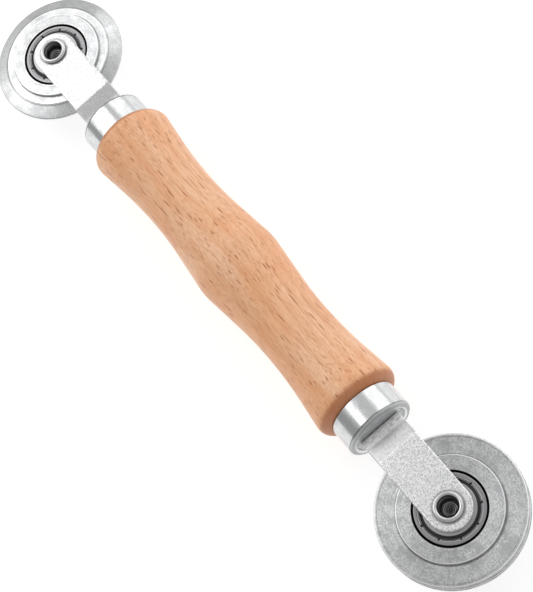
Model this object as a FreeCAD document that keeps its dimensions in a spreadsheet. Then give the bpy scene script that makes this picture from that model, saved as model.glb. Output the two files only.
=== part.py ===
import FreeCAD, Part
import math
import os
import Sketcher

# A double-ended spline roller: a turned beech handle with a steel ferrule and a folded steel fork at
# each end, and in each fork a 40 mm wheel on a sealed 6 x 19 x 6 ball bearing and a rivet.
# X runs along the handle and Z along the two axles; the origin is the handle's centre. The wheel at
# +X has a grooved (concave) rim, the one at -X a tapered (convex) rim. Millimetres and degrees.

doc = FreeCAD.newDocument("spline_roller")

DRIVING_SIZES = (
    ("axle_spacing", 185.6, "from one wheel's axle to the other's"),
    # handle
    ("bulge_radius", 12.5, "handle's radius at its centre"),
    ("bulge_curve", 20.0, "rounding of the centre bulge, lengthwise"),
    ("flank_angle", 6.3, "slope of the handle's flanks"),
    ("waist_radius", 10.35, "handle's thinnest radius"),
    ("waist_curve", 120.0, "lengthwise curve of the waist, inner side"),
    ("waist_curve_outer", 138.0, "lengthwise curve of the waist, outer side"),
    ("shoulder_reach", 55.6, "handle's centre to its shoulder face"),
    ("shoulder_radius", 12.4, "handle's radius where the shoulder's rounding starts"),
    ("shoulder_curve", 3.2, "rounding of the shoulder"),
    ("tenon_radius", 9.0, "turned-down end inside the ferrule"),
    ("seat_reach", 63.4, "handle's centre to the ferrule's dished bottom, where the fork sits"),
    ("pilot_depth", 24.0, "drilled hole for the fork's screw"),
    # ferrule
    ("ferrule_radius", 9.85, "outside of the ferrule"),
    ("ferrule_reach", 63.85, "handle's centre to the ferrule's end face"),
    ("ferrule_gap", 0.15, "between the ferrule's rim and the shoulder"),
    ("ferrule_wall", 0.8, "sheet of the ferrule"),
    ("ferrule_corner", 0.9, "rounding of the ferrule's outer corner"),
    ("dish_radius", 7.5, "flat bottom of the dish in the ferrule's end"),
    ("dish_lip_width", 0.9, "rounded lip round the dish, across the end face"),
    # fork
    ("fork_width", 12.7, "width of the fork's strap"),
    ("fork_sheet", 1.3, "thickness of the fork's strap"),
    ("arm_inner", 3.35, "middle plane to the arm's inner face"),
    ("neck_outer", 3.4, "middle plane to the strap's outer face beside the base"),
    ("neck_bend", 2.4, "outer bend radius of the fork's base"),
    ("crease_distance", 20.8, "axle to the crease where the arms turn parallel"),
    ("axle_hole_radius", 3.05, "hole in each arm"),
    # fork screw
    ("screw_radius", 1.4, "shank and thread crest"),
    ("screw_root", 1.05, "thread root"),
    ("screw_head_radius", 2.05, "countersunk head"),
    ("screw_head_top", 1.5, "fork's seat to the top of the head"),
    ("screw_head_height", 0.65, "countersunk part of the head"),
    ("screw_thread_start", 4.0, "fork's seat to the first thread"),
    ("screw_pitch", 1.3, "thread pitch"),
    ("screw_slot_width", 0.6, "slot in the head"),
    ("screw_slot_depth", 0.5, "slot in the head"),
    ("fit_gap", 0.02, "radial gap of a drilled or reamed fit"),
    # rivet with drilled ends
    ("rivet_radius", 2.98, "shank of the rivet"),
    ("rivet_bore", 2.2, "hole drilled in each end of the rivet"),
    ("rivet_bore_depth", 3.4, "top of the rolled head to where the drill's cone starts"),
    ("rivet_drill_angle", 59.0, "half the drill's point angle"),
    ("rivet_roll", 0.6, "section radius of the rolled head"),
    ("rivet_head_radius", 4.0, "outside of the rolled head"),
    ("rivet_half_length", 5.75, "middle plane to the top of the rolled head"),
    ("rivet_mouth_depth", 1.6, "top of the rolled head to where the bore is full"),
    # bearing
    ("bearing_half_width", 3.0, "middle plane to the bearing's face"),
    ("bearing_bore", 3.0, "inner ring's bore"),
    ("bearing_radius", 9.5, "outer ring's outside"),
    ("ring_edge", 0.3, "chamfer on the rings' edges"),
    ("inner_land", 4.85, "inner ring's outside, beside its raceway"),
    ("outer_land", 7.7, "outer ring's inside, beside its raceway"),
    ("pitch_radius", 6.25, "centres of the balls"),
    ("ball_radius", 1.75, "ball"),
    ("ball_count", 7, "balls in each bearing"),
    ("raceway_gap", 0.03, "running gap between a ball and a raceway"),
    ("pocket_gap", 0.05, "gap between a ball and its cage pocket"),
    ("cage_inner", 5.6, "cage's inside"),
    ("cage_outer", 6.9, "cage's outside"),
    ("cage_back", 2.05, "middle plane to the cage's closed side"),
    ("cage_front", 0.7, "middle plane to the tips of the cage's prongs"),
    ("shield_seat", 2.3, "middle plane to the step that carries a shield"),
    ("shield_opening", 5.2, "hole in a shield"),
    ("shield_radius", 8.55, "outside of a shield"),
    ("shield_sheet", 0.25, "sheet of a shield"),
    ("crimp_width", 0.55, "width of the crimped edge of a shield"),
    ("crimp_height", 0.5, "height of the crimped edge of a shield"),
    ("crimp_count", 9, "notches in the crimped edge"),
    ("crimp_notch", 0.5, "width of a notch"),
    ("crimp_notch_depth", 0.2, "depth of a notch"),
    ("spacer_radius", 7.1, "spacer washer's outside"),
    # wheels
    ("wheel_radius", 20.0, "both wheels"),
    ("seat_chamfer", 0.55, "chamfer round the bearing seat, across the face"),
    ("seat_chamfer_depth", 0.8, "the same, into the bore"),
    ("grooved_boss_radius", 14.1, "boss of the concave wheel"),
    ("grooved_web", 2.0, "middle plane to the flat of the concave wheel"),
    ("grooved_rim_edge", 0.3, "chamfer on the concave wheel's rim"),
    ("groove_radius", 1.4, "half-round groove for the spline"),
    ("tapered_boss_radius", 13.4, "boss of the convex wheel"),
    ("tapered_web", 2.05, "middle plane to the flat of the convex wheel"),
    ("boss_draft", 0.25, "how far the boss's wall leans out"),
    ("ledge_radius", 15.8, "where the convex wheel's flat ends"),
    ("ledge_width", 0.6, "width of the small step after the flat"),
    ("ledge_drop", 0.3, "height of that step"),
    ("rim_round", 0.5, "rounding of the convex wheel's thin rim"),
    ("taper_end_rise", 0.05, "taper's end above the rim's rounding"),
)

sheet = doc.addObject("Spreadsheet::Sheet", "Sizes")
for row, (alias, value, meaning) in enumerate(DRIVING_SIZES, start=1):
    sheet.set(f"A{row}", meaning)
    sheet.set(f"B{row}", str(value))
    sheet.setAlias(f"B{row}", alias)
doc.recompute()

NODES = []


def add_node(item, label, turn=None, end=0):
    """Label a sub-part, place it and list it for writing.

    end +1 or -1 moves it to that wheel's axle; turn is (axis, degrees).
    """
    item.Label = label
    if turn is not None:
        item.Placement = FreeCAD.Placement(FreeCAD.Vector(), FreeCAD.Rotation(*turn))
    if end:
        item.setExpression("Placement.Base.x", f"{end} * Sizes.axle_spacing / 2")
    NODES.append(item)


def origin_plane(body, role):
    """The body's own origin plane of that role."""
    return next(item for item in body.Origin.OriginFeatures if item.Role == role)


def new_sketch(body, role, name):
    sketch = body.newObject("Sketcher::SketchObject", name)
    sketch.AttachmentSupport = (origin_plane(body, role), [""])
    sketch.MapMode = "FlatFace"
    return sketch


def bind_constraint(sketch, kind, references, name, expression):
    """Add a dimension whose value is the expression."""
    value = float(sketch.evalExpression(expression))
    index = sketch.addConstraint(Sketcher.Constraint(kind, *references, value))
    sketch.renameConstraint(index, name)
    sketch.setExpression(f"Constraints.{name}", expression)


def arc_centre(start, end, radius, turning):
    """Centre of the arc from start to end, left of the chord when it turns "left", else right."""
    chord = end - start
    rise = math.sqrt(max(radius ** 2 - (chord.Length / 2) ** 2, 0.0))
    side = FreeCAD.Vector(-chord.y, chord.x, 0).normalize()
    return (start + end) / 2 + side * (rise if turning == "left" else -rise)


def draw_outline(sketch, corners):
    """Draw a closed outline whose corners are all fixed by expressions.

    A corner is (x, y), or (x, y, turning, radius) where the edge that leaves it is an arc.
    """
    points = [
        FreeCAD.Vector(float(sketch.evalExpression(corner[0])), float(sketch.evalExpression(corner[1])), 0)
        for corner in corners
    ]
    ends = []
    for number, corner in enumerate(corners):
        start = points[number]
        end = points[(number + 1) % len(points)]
        if len(corner) == 2:
            edge = sketch.addGeometry(Part.LineSegment(start, end))
            ends.append((edge, 1, 2))
            continue
        turning, radius = corner[2:]
        size = float(sketch.evalExpression(radius))
        centre = arc_centre(start, end, size, turning)
        angles = [math.atan2(point.y - centre.y, point.x - centre.x) for point in (start, end)]
        if turning == "right":
            angles.reverse()
        circle = Part.Circle(centre, FreeCAD.Vector(0, 0, 1), size)
        edge = sketch.addGeometry(Part.ArcOfCircle(circle, *angles))
        ends.append((edge, 1, 2) if turning == "left" else (edge, 2, 1))
        bind_constraint(sketch, "Radius", (edge,), f"radius{number}", radius)
    for number, corner in enumerate(corners):
        edge, first, last = ends[number]
        following, following_first, _ = ends[(number + 1) % len(ends)]
        sketch.addConstraint(Sketcher.Constraint("Coincident", edge, last, following, following_first))
        bind_constraint(sketch, "DistanceX", (-1, 1, edge, first), f"corner{number}_x", corner[0])
        bind_constraint(sketch, "DistanceY", (-1, 1, edge, first), f"corner{number}_y", corner[1])


def draw_circle(sketch, radius, x="0"):
    """Draw a circle of that radius on the sketch's horizontal axis."""
    centre = FreeCAD.Vector(float(sketch.evalExpression(x)), 0, 0)
    size = float(sketch.evalExpression(radius))
    circle = sketch.addGeometry(Part.Circle(centre, FreeCAD.Vector(0, 0, 1), size))
    bind_constraint(sketch, "Radius", (circle,), "radius", radius)
    bind_constraint(sketch, "DistanceX", (-1, 1, circle, 3), "centre_x", x)
    sketch.addConstraint(Sketcher.Constraint("PointOnObject", circle, 3, -1))


def turned_body(name, role, axis, corners, mirror=None):
    """A turned piece: the outline on one side of the axis, revolved, and mirrored where it is half."""
    body = doc.addObject("PartDesign::Body", name)
    sketch = new_sketch(body, role, f"{name}_outline")
    draw_outline(sketch, corners)
    turning = body.newObject("PartDesign::Revolution", f"{name}_turning")
    turning.Profile = sketch
    turning.ReferenceAxis = (sketch, [axis])
    turning.Angle = 360
    if mirror is not None:
        mirror_body(body, turning, mirror)
    return body


def mirror_body(body, feature, role):
    mirrored = body.newObject("PartDesign::Mirrored", f"{body.Name}_mirrored")
    mirrored.Originals = [feature]
    mirrored.MirrorPlane = (origin_plane(body, role), [""])
    body.Tip = mirrored


def cut_through(body, role, name, draw, *arguments):
    """Cut the drawn outline through the body, both ways from the plane."""
    sketch = new_sketch(body, role, f"{name}_outline")
    draw(sketch, *arguments)
    pocket = body.newObject("PartDesign::Pocket", name)
    pocket.Profile = sketch
    pocket.Type = "ThroughAll"
    pocket.Midplane = True
    body.Tip = pocket


# ---- handle: one turned beech piece, symmetric about its centre bulge -----------------------------

bulge_end = (
    "Sizes.bulge_curve * sin(Sizes.flank_angle)",
    "(Sizes.bulge_radius - Sizes.bulge_curve * (1 - cos(Sizes.flank_angle)))",
)
waist_start_y = "(Sizes.waist_radius + Sizes.waist_curve * (1 - cos(Sizes.flank_angle)))"
waist_start_x = f"{bulge_end[0]} + ({bulge_end[1]} - {waist_start_y}) / tan(Sizes.flank_angle)"
waist_x = f"{waist_start_x} + Sizes.waist_curve * sin(Sizes.flank_angle)"
waist_end_x = f"{waist_x} + Sizes.waist_curve_outer * sin(Sizes.flank_angle)"
waist_end_y = "Sizes.waist_radius + Sizes.waist_curve_outer * (1 - cos(Sizes.flank_angle))"
# The shoulder's arc starts on the flank's slope and ends on the shoulder face at the ferrule's radius.
shoulder_rise = ("(Sizes.ferrule_radius - Sizes.shoulder_radius"
                 " + Sizes.shoulder_curve * cos(Sizes.flank_angle))")
shoulder_x = (f"Sizes.shoulder_reach - sqrt(Sizes.shoulder_curve ^ 2 - {shoulder_rise} ^ 2)"
              " - Sizes.shoulder_curve * sin(Sizes.flank_angle)")
tenon_end = "(Sizes.seat_reach - Sizes.ferrule_wall)"
pilot_radius = "(Sizes.screw_radius + Sizes.fit_gap)"

handle = turned_body("handle", "XY_Plane", "H_Axis", (
    ("0", "0"),
    ("0", "Sizes.bulge_radius", "right", "Sizes.bulge_curve"),
    bulge_end,
    (waist_start_x, waist_start_y, "left", "Sizes.waist_curve"),
    (waist_x, "Sizes.waist_radius", "left", "Sizes.waist_curve_outer"),
    (waist_end_x, waist_end_y),
    (shoulder_x, "Sizes.shoulder_radius", "right", "Sizes.shoulder_curve"),
    ("Sizes.shoulder_reach", "Sizes.ferrule_radius"),
    ("Sizes.shoulder_reach", "Sizes.tenon_radius"),
    (tenon_end, "Sizes.tenon_radius"),
    (tenon_end, pilot_radius),
    (f"{tenon_end} - Sizes.pilot_depth", pilot_radius),
    (f"{tenon_end} - Sizes.pilot_depth - {pilot_radius}", "0"),
), mirror="YZ_Plane")
add_node(handle, "handle")

# Turns that carry a part of the +X end to the -X end, and a top part to the underside.
HALF_TURN = (FreeCAD.Vector(0, 0, 1), 180)
OVER = (FreeCAD.Vector(1, 0, 0), 180)


# ---- ferrule: drawn steel cup, its end face dished to take the fork's base -----------------------

def make_ferrule(name):
    inside = "Sizes.ferrule_radius - Sizes.ferrule_wall"
    rim = "Sizes.shoulder_reach + Sizes.ferrule_gap"
    corner_start = "Sizes.ferrule_reach - Sizes.ferrule_corner"
    dish_depth = "(Sizes.ferrule_reach - Sizes.seat_reach)"
    # Radius of an arc that leaves the end face smoothly and meets the dish's bottom.
    lip_curve = f"({dish_depth} ^ 2 + Sizes.dish_lip_width ^ 2) / (2 * {dish_depth})"
    return turned_body(name, "XY_Plane", "H_Axis", (
        (rim, inside),
        (rim, "Sizes.ferrule_radius"),
        (corner_start, "Sizes.ferrule_radius", "right", "Sizes.ferrule_corner"),
        ("Sizes.ferrule_reach", "Sizes.ferrule_radius - Sizes.ferrule_corner"),
        ("Sizes.ferrule_reach", "Sizes.dish_radius + Sizes.dish_lip_width", "right", lip_curve),
        ("Sizes.seat_reach", "Sizes.dish_radius"),
        ("Sizes.seat_reach", pilot_radius),
        (tenon_end, pilot_radius),
        (tenon_end, inside),
    ))


# ---- fork: one strap of sheet steel folded to a U, pinched where it enters the ferrule ------------

def make_fork(name):
    axle_x = "Sizes.axle_spacing / 2"
    crease_x = "Sizes.axle_spacing / 2 - Sizes.crease_distance"
    neck_x = "Sizes.seat_reach + Sizes.neck_bend"
    base_z = "Sizes.neck_outer - Sizes.neck_bend"
    arm_outer = "Sizes.arm_inner + Sizes.fork_sheet"
    blank_end = "Sizes.axle_spacing / 2 + Sizes.fork_width"
    body = doc.addObject("PartDesign::Body", name)
    sketch = new_sketch(body, "XZ_Plane", f"{name}_fold")
    draw_outline(sketch, (
        ("Sizes.seat_reach", "0"),
        ("Sizes.seat_reach", base_z, "right", "Sizes.neck_bend"),
        (neck_x, "Sizes.neck_outer"),
        (crease_x, arm_outer),
        (blank_end, arm_outer),
        (blank_end, "Sizes.arm_inner"),
        (crease_x, "Sizes.arm_inner"),
        (neck_x, "Sizes.neck_outer - Sizes.fork_sheet", "left", "Sizes.neck_bend - Sizes.fork_sheet"),
        ("Sizes.seat_reach + Sizes.fork_sheet", base_z),
        ("Sizes.seat_reach + Sizes.fork_sheet", "0"),
    ))
    strap = body.newObject("PartDesign::Pad", f"{name}_strap")
    strap.Profile = sketch
    strap.Midplane = True
    strap.setExpression("Length", "Sizes.fork_width")
    mirror_body(body, strap, "XY_Plane")
    # The blank's square ends are cut round about the axle.
    cut_through(body, "XY_Plane", f"{name}_rounding", draw_outline, (
        (axle_x, "Sizes.fork_width / 2", "right", "Sizes.fork_width / 2"),
        (f"{axle_x} + Sizes.fork_width / 2", "0", "right", "Sizes.fork_width / 2"),
        (axle_x, "-Sizes.fork_width / 2"),
        (axle_x, "-Sizes.fork_width"),
        (f"{axle_x} + 2 * Sizes.fork_width", "-Sizes.fork_width"),
        (f"{axle_x} + 2 * Sizes.fork_width", "Sizes.fork_width"),
        (axle_x, "Sizes.fork_width"),
    ))
    cut_through(body, "XY_Plane", f"{name}_axle_holes", draw_circle, "Sizes.axle_hole_radius", axle_x)
    # The screw hole in the base is countersunk from inside the fork.
    head_base = "Sizes.seat_reach + Sizes.screw_head_top - Sizes.screw_head_height"
    head_top = "Sizes.seat_reach + Sizes.screw_head_top"
    countersink = new_sketch(body, "XY_Plane", f"{name}_countersink_outline")
    draw_outline(countersink, (
        ("Sizes.seat_reach - Sizes.fork_sheet", "0"),
        ("Sizes.seat_reach - Sizes.fork_sheet", pilot_radius),
        (head_base, pilot_radius),
        (head_top, "Sizes.screw_head_radius + Sizes.fit_gap"),
        (f"{head_top} + Sizes.fork_sheet", "Sizes.screw_head_radius + Sizes.fit_gap"),
        (f"{head_top} + Sizes.fork_sheet", "0"),
    ))
    groove = body.newObject("PartDesign::Groove", f"{name}_countersink")
    groove.Profile = countersink
    groove.ReferenceAxis = (countersink, ["H_Axis"])
    groove.Angle = 360
    body.Tip = groove
    return body


# ---- fork screw: slotted countersunk wood screw along the handle's axis ---------------------------

SCREW_TURNS = 12

def make_fork_screw(name):
    head_top = "Sizes.seat_reach + Sizes.screw_head_top"
    head_base = f"{head_top} - Sizes.screw_head_height"
    thread_start = "Sizes.seat_reach - Sizes.screw_thread_start"
    corners = [
        (head_top, "0"),
        (head_top, "Sizes.screw_head_radius"),
        (head_base, "Sizes.screw_radius"),
    ]
    for turn in range(SCREW_TURNS):
        crest = f"{thread_start} - {turn} * Sizes.screw_pitch"
        corners.append((crest, "Sizes.screw_radius"))
        corners.append((f"{crest} - Sizes.screw_pitch / 2", "Sizes.screw_root"))
    tip = f"{thread_start} - {SCREW_TURNS} * Sizes.screw_pitch"
    corners.append((tip, "Sizes.screw_root"))
    corners.append((f"{tip} - Sizes.screw_pitch", "0"))
    body = turned_body(name, "XY_Plane", "H_Axis", corners)
    slot_sketch = new_sketch(body, "XY_Plane", f"{name}_slot_outline")
    slot_floor = f"{head_top} - Sizes.screw_slot_depth"
    draw_outline(slot_sketch, (
        (slot_floor, "-Sizes.screw_slot_width / 2"),
        (f"{head_top} + Sizes.screw_slot_depth", "-Sizes.screw_slot_width / 2"),
        (f"{head_top} + Sizes.screw_slot_depth", "Sizes.screw_slot_width / 2"),
        (slot_floor, "Sizes.screw_slot_width / 2"),
    ))
    slot = body.newObject("PartDesign::Pocket", f"{name}_slot")
    slot.Profile = slot_sketch
    slot.Type = "ThroughAll"
    slot.Midplane = True
    body.Tip = slot
    return body


# ---- axle: rivet whose drilled ends are rolled outwards over the arms -----------------------------

def make_axle(name):
    arm_outer = "Sizes.arm_inner + Sizes.fork_sheet"
    roll_r = "Sizes.rivet_head_radius - Sizes.rivet_roll"
    roll_z = "Sizes.rivet_half_length - Sizes.rivet_roll"
    roll_foot = f"{roll_r} + sqrt(Sizes.rivet_roll ^ 2 - ({roll_z} - ({arm_outer})) ^ 2)"
    bore_floor = "Sizes.rivet_half_length - Sizes.rivet_bore_depth"
    return turned_body(name, "XZ_Plane", "V_Axis", (
        ("0", "0"),
        ("Sizes.rivet_radius", "0"),
        ("Sizes.rivet_radius", arm_outer),
        (roll_foot, arm_outer, "left", "Sizes.rivet_roll"),
        (roll_r, "Sizes.rivet_half_length", "left", "Sizes.rivet_roll"),
        (f"{roll_r} - Sizes.rivet_roll", roll_z),
        ("Sizes.rivet_bore", "Sizes.rivet_half_length - Sizes.rivet_mouth_depth"),
        ("Sizes.rivet_bore", bore_floor),
        ("0", f"{bore_floor} - Sizes.rivet_bore / tan(Sizes.rivet_drill_angle)"),
    ), mirror="XY_Plane")


# ---- spacer washer: holds the bearing's inner ring off the arm ------------------------------------

def make_spacer(name):
    return turned_body(name, "XZ_Plane", "V_Axis", (
        ("Sizes.axle_hole_radius", "Sizes.bearing_half_width"),
        ("Sizes.spacer_radius", "Sizes.bearing_half_width"),
        ("Sizes.spacer_radius", "Sizes.arm_inner"),
        ("Sizes.axle_hole_radius", "Sizes.arm_inner"),
    ))


# ---- bearing rings: the raceways are one running gap clear of the balls ---------------------------

raceway_radius = "Sizes.ball_radius + Sizes.raceway_gap"
raceway_rise = "sqrt((Sizes.ball_radius + Sizes.raceway_gap) ^ 2 - ({land} - Sizes.pitch_radius) ^ 2)"
ring_face = "Sizes.bearing_half_width"


def make_inner_ring(name):
    return turned_body(name, "XZ_Plane", "V_Axis", (
        ("Sizes.bearing_bore", "0"),
        (f"Sizes.pitch_radius - ({raceway_radius})", "0", "right", raceway_radius),
        ("Sizes.inner_land", raceway_rise.format(land="Sizes.inner_land")),
        ("Sizes.inner_land", ring_face),
        ("Sizes.bearing_bore + Sizes.ring_edge", ring_face),
        ("Sizes.bearing_bore", f"{ring_face} - Sizes.ring_edge"),
    ), mirror="XY_Plane")


def make_outer_ring(name):
    shield_wall = "Sizes.shield_radius + Sizes.fit_gap"
    return turned_body(name, "XZ_Plane", "V_Axis", (
        (f"Sizes.pitch_radius + {raceway_radius}", "0"),
        ("Sizes.bearing_radius", "0"),
        ("Sizes.bearing_radius", f"{ring_face} - Sizes.ring_edge"),
        ("Sizes.bearing_radius - Sizes.ring_edge", ring_face),
        (shield_wall, ring_face),
        (shield_wall, "Sizes.shield_seat"),
        ("Sizes.outer_land", "Sizes.shield_seat"),
        ("Sizes.outer_land", raceway_rise.format(land="Sizes.outer_land"), "right", raceway_radius),
    ), mirror="XY_Plane")


# ---- balls and cage: a ring of balls in a crown cage that is open on one side ---------------------

def make_spheres(name, radius):
    """One sphere for each ball, on the pitch circle."""
    spheres = []
    count = int(sheet.ball_count)
    for number in range(count):
        sphere = doc.addObject("Part::Sphere", f"{name}_{number + 1}")
        sphere.setExpression("Radius", radius)
        angle = f"{number} * 360 / Sizes.ball_count"
        sphere.setExpression("Placement.Base.x", f"Sizes.pitch_radius * cos({angle})")
        sphere.setExpression("Placement.Base.y", f"Sizes.pitch_radius * sin({angle})")
        spheres.append(sphere)
    return spheres


def make_balls(name):
    balls = doc.addObject("Part::Compound", name)
    balls.Links = make_spheres(f"{name}_ball", "Sizes.ball_radius")
    return balls


def make_cage(name):
    ring = turned_body(f"{name}_ring", "XZ_Plane", "V_Axis", (
        ("Sizes.cage_inner", "-Sizes.cage_back"),
        ("Sizes.cage_outer", "-Sizes.cage_back"),
        ("Sizes.cage_outer", "Sizes.cage_front"),
        ("Sizes.cage_inner", "Sizes.cage_front"),
    ))
    pockets = doc.addObject("Part::MultiFuse", f"{name}_pockets")
    pockets.Shapes = make_spheres(f"{name}_pocket", "Sizes.ball_radius + Sizes.pocket_gap")
    cage = doc.addObject("Part::Cut", name)
    cage.Base = ring
    cage.Tool = pockets
    return cage


# ---- shield: pressed disc whose raised edge is crimped at nine places into the outer ring ---------

def make_shield(name):
    foot = "Sizes.shield_seat + Sizes.fit_gap"
    disc_face = f"{foot} + Sizes.shield_sheet"
    crimp_face = f"{foot} + Sizes.crimp_height"
    crimp_inside = "Sizes.shield_radius - Sizes.crimp_width"
    body = turned_body(name, "XZ_Plane", "V_Axis", (
        ("Sizes.shield_opening", foot),
        ("Sizes.shield_radius", foot),
        ("Sizes.shield_radius", crimp_face),
        (crimp_inside, crimp_face),
        (crimp_inside, disc_face),
        ("Sizes.shield_opening", disc_face),
    ))
    sketch = new_sketch(body, "YZ_Plane", f"{name}_notch_outline")
    notch_floor = f"{crimp_face} - Sizes.crimp_notch_depth"
    notch_top = f"{crimp_face} + Sizes.crimp_notch_depth"
    draw_outline(sketch, (
        ("-Sizes.crimp_notch / 2", notch_floor),
        ("Sizes.crimp_notch / 2", notch_floor),
        ("Sizes.crimp_notch / 2", notch_top),
        ("-Sizes.crimp_notch / 2", notch_top),
    ))
    notch = body.newObject("PartDesign::Pocket", f"{name}_notch")
    notch.Profile = sketch
    notch.Type = "ThroughAll"
    notch.Reversed = True
    notches = body.newObject("PartDesign::PolarPattern", f"{name}_notches")
    notches.Originals = [notch]
    notches.Axis = (sketch, ["V_Axis"])
    notches.Angle = 360
    notches.setExpression("Occurrences", "Sizes.crimp_count")
    body.Tip = notches
    return body


# ---- wheels: turned steel, a boss as wide as the bearing and a thinner web ------------------------

seat_radius = "Sizes.bearing_radius + Sizes.fit_gap"
SEAT = (
    (seat_radius, "0"),
)
SEAT_MOUTH = (
    ("Sizes.bearing_radius + Sizes.seat_chamfer", ring_face),
    (seat_radius, f"{ring_face} - Sizes.seat_chamfer_depth"),
)


def make_concave_wheel(name):
    rim_corner = "Sizes.grooved_web - Sizes.grooved_rim_edge"
    return turned_body(name, "XZ_Plane", "V_Axis", SEAT + (
        ("Sizes.wheel_radius - Sizes.groove_radius", "0", "right", "Sizes.groove_radius"),
        ("Sizes.wheel_radius", "Sizes.groove_radius"),
        ("Sizes.wheel_radius", rim_corner),
        ("Sizes.wheel_radius - Sizes.grooved_rim_edge", "Sizes.grooved_web"),
        ("Sizes.grooved_boss_radius + Sizes.boss_draft", "Sizes.grooved_web"),
        ("Sizes.grooved_boss_radius", ring_face),
    ) + SEAT_MOUTH, mirror="XY_Plane")


def make_convex_wheel(name):
    taper_start_z = "Sizes.tapered_web - Sizes.ledge_drop"
    return turned_body(name, "XZ_Plane", "V_Axis", SEAT + (
        ("Sizes.wheel_radius", "0", "left", "Sizes.rim_round"),
        ("Sizes.wheel_radius - Sizes.rim_round", "Sizes.rim_round"),
        ("Sizes.wheel_radius - Sizes.rim_round", "Sizes.rim_round + Sizes.taper_end_rise"),
        ("Sizes.ledge_radius + Sizes.ledge_width", taper_start_z),
        ("Sizes.ledge_radius", "Sizes.tapered_web"),
        ("Sizes.tapered_boss_radius + Sizes.boss_draft", "Sizes.tapered_web"),
        ("Sizes.tapered_boss_radius", ring_face),
    ) + SEAT_MOUTH, mirror="XY_Plane")


# ---- the two ends ---------------------------------------------------------------------------------

for kind, end, make_wheel in (("concave", 1, make_concave_wheel), ("convex", -1, make_convex_wheel)):
    facing = None if end > 0 else HALF_TURN
    for part_name, make_part in (
        ("ferrule", make_ferrule),
        ("fork", make_fork),
        ("fork_screw", make_fork_screw),
    ):
        label = f"{kind}_{part_name}"
        add_node(make_part(label), label, turn=facing)
    for part_name, make_part, turn in (
        ("axle", make_axle, None),
        ("spacer_top", make_spacer, None),
        ("spacer_bottom", make_spacer, OVER),
        ("bearing_inner_ring", make_inner_ring, None),
        ("bearing_outer_ring", make_outer_ring, None),
        ("bearing_balls", make_balls, None),
        ("bearing_cage", make_cage, None),
        ("bearing_shield_top", make_shield, None),
        ("bearing_shield_bottom", make_shield, OVER),
        ("wheel", make_wheel, None),
    ):
        label = f"{kind}_{part_name}"
        add_node(make_part(label), label, turn=turn, end=end)

doc.recompute()

for item in doc.Objects:
    if "Invalid" in item.State or "Error" in item.State:
        raise RuntimeError(f"{item.Label} did not compute: {item.State}")
for node in NODES:
    if node.Shape.isNull() or not node.Shape.isValid():
        raise RuntimeError(f"{node.Label} has no valid shape")

os.makedirs("parts", exist_ok=True)
for node in NODES:
    node.Shape.exportStep(f"parts/{node.Label}.step")
    print(f"{node.Label}: {len(node.Shape.Solids)} solid, {node.Shape.Volume:.1f} mm3")
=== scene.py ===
import bmesh
import bpy
import numpy as np
from mathutils import Matrix, Vector


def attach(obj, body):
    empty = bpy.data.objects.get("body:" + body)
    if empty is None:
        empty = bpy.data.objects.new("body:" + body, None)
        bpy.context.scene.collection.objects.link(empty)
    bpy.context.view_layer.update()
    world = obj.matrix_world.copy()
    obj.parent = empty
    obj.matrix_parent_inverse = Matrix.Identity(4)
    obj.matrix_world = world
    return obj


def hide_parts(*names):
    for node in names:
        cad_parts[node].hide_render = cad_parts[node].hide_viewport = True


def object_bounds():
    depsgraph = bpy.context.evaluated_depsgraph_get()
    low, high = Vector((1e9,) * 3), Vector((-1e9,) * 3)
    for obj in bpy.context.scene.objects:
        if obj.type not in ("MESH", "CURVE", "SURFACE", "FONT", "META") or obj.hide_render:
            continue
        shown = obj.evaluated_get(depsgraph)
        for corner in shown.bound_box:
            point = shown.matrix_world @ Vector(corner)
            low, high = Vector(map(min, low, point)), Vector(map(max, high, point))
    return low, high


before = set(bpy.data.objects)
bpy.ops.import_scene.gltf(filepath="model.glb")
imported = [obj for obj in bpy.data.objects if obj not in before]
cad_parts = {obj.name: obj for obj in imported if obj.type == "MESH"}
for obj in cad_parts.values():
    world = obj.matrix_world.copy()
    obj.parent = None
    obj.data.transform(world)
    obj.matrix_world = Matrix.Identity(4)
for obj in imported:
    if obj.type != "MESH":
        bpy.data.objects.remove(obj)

# The tool lies along X with its two wheel axles along Z. The grooved (concave) wheel is at +X and the
# tapered (convex) wheel at -X. Sizes below are in millimetres and become metres in the meshes.
cad_low, cad_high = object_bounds()
MM = 0.001
ENDS = (("concave", 1), ("convex", -1))


# ---- Handle --------------------------------------------------------------------------------------
# One piece of steamed beech turned between centres: a centre bulge, two waists and two shoulders, with
# a tenon at each end for the ferrule. It is sanded and has a thin satin lacquer.

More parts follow.
